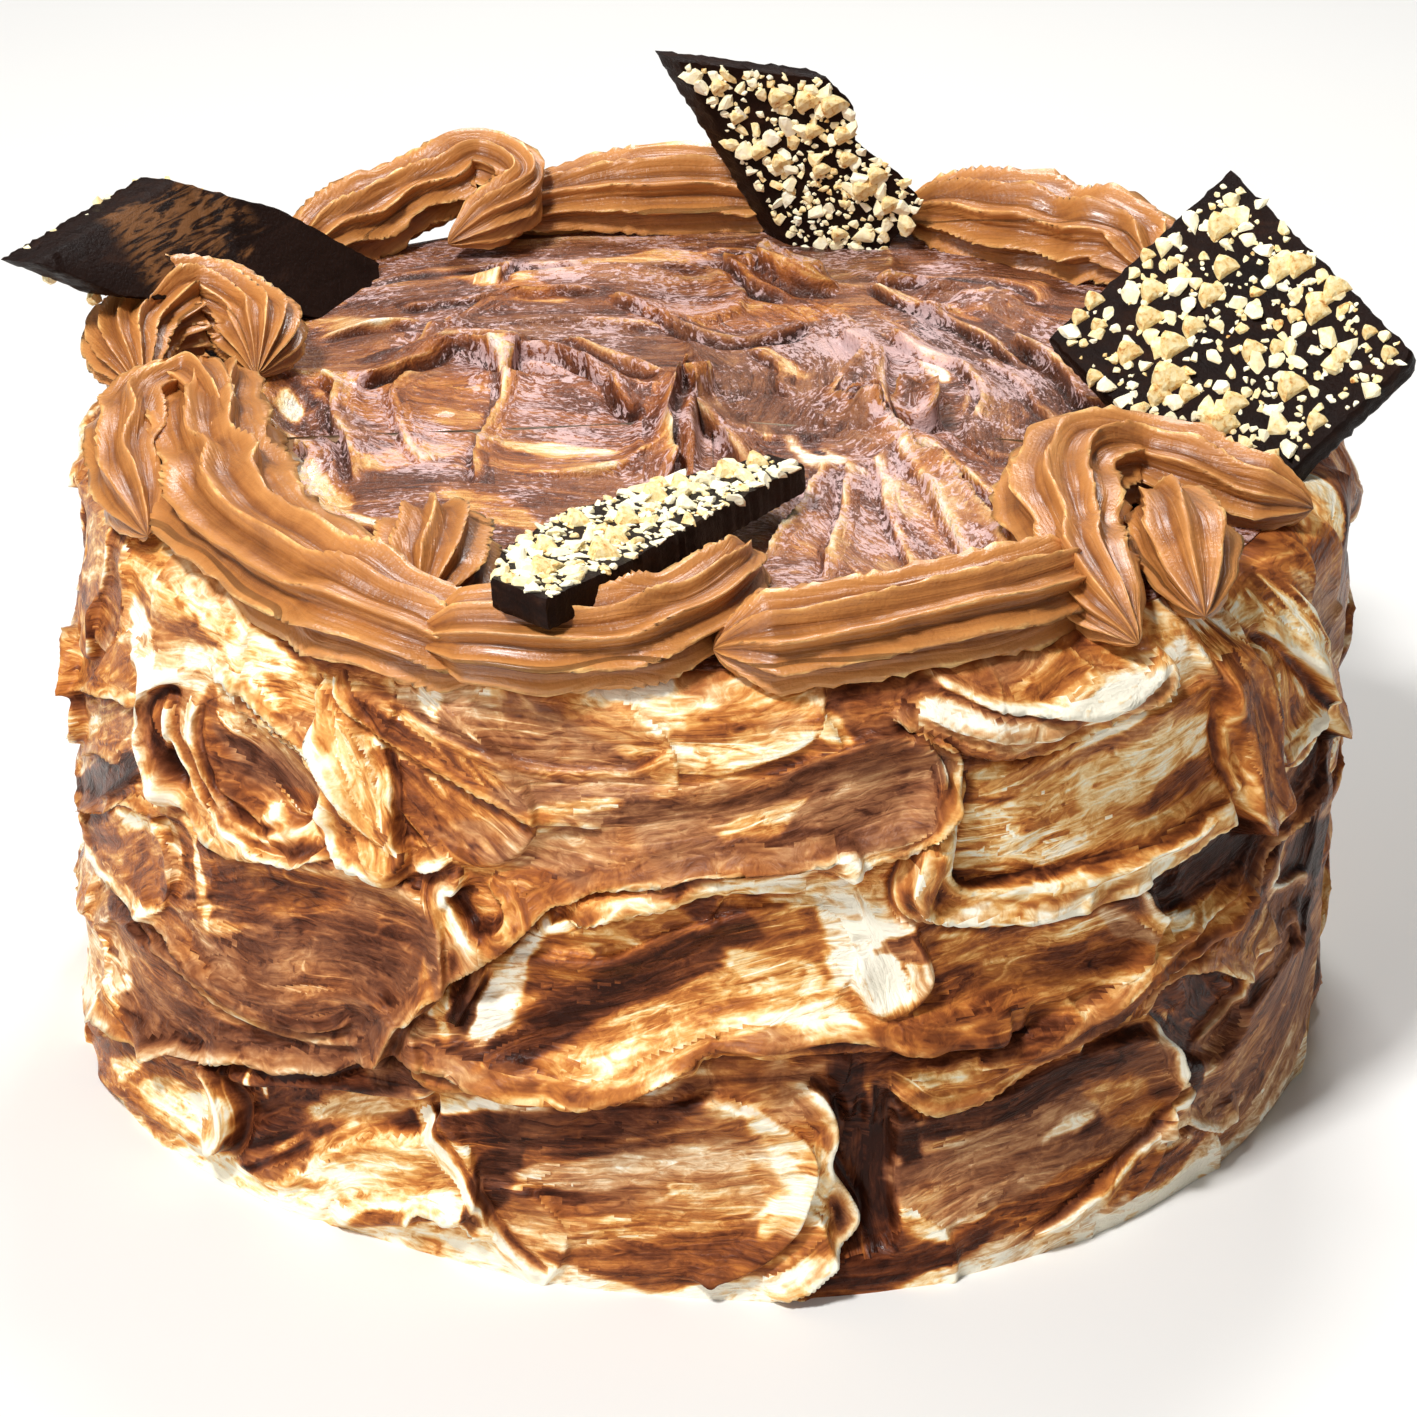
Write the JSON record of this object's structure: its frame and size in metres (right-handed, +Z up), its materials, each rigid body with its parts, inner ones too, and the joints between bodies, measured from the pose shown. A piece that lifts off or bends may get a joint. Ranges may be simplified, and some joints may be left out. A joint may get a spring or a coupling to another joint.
{
  "type": "layer cake",
  "caption": "Round layer cake in marbled chocolate and cream frosting laid on with a knife, with a piped chocolate border and shards of dark chocolate nut bark.",
  "frame": {"origin": "middle of the flat round base of the cake", "axes": "+Z up through the middle of the cake, -Y towards the viewer of the picture"},
  "size_m": [0.2381, 0.2246, 0.1459],
  "materials": {
    "marbled_frosting": "glossy soft frosting, marbled from cream white through caramel to dark chocolate",
    "piped_buttercream": "satin milk chocolate buttercream with sharp piped ribs",
    "dark_chocolate": "dark chocolate, satin, glossy where it was poured",
    "chopped_nuts": "dry chopped hazelnut, pale inside with brown skin"
  },
  "bodies": {
    "root": {"frosted_cake": "marbled_frosting", "swag_hidden_right": "piped_buttercream", "swag_back_right": "piped_buttercream", "swag_back": "piped_buttercream", "hairpin_back_left": "piped_buttercream", "rosette_left": "piped_buttercream", "swag_left": "piped_buttercream", "curl_left": "piped_buttercream", "comb_front_left": "piped_buttercream", "swag_right": "piped_buttercream", "swag_front": "piped_buttercream", "curl_right": "piped_buttercream", "curl_right_inner": "piped_buttercream", "bark_left": "dark_chocolate", "bark_back": "dark_chocolate", "bark_right": "dark_chocolate", "bark_front": "dark_chocolate"}
  },
  "joints": []
}
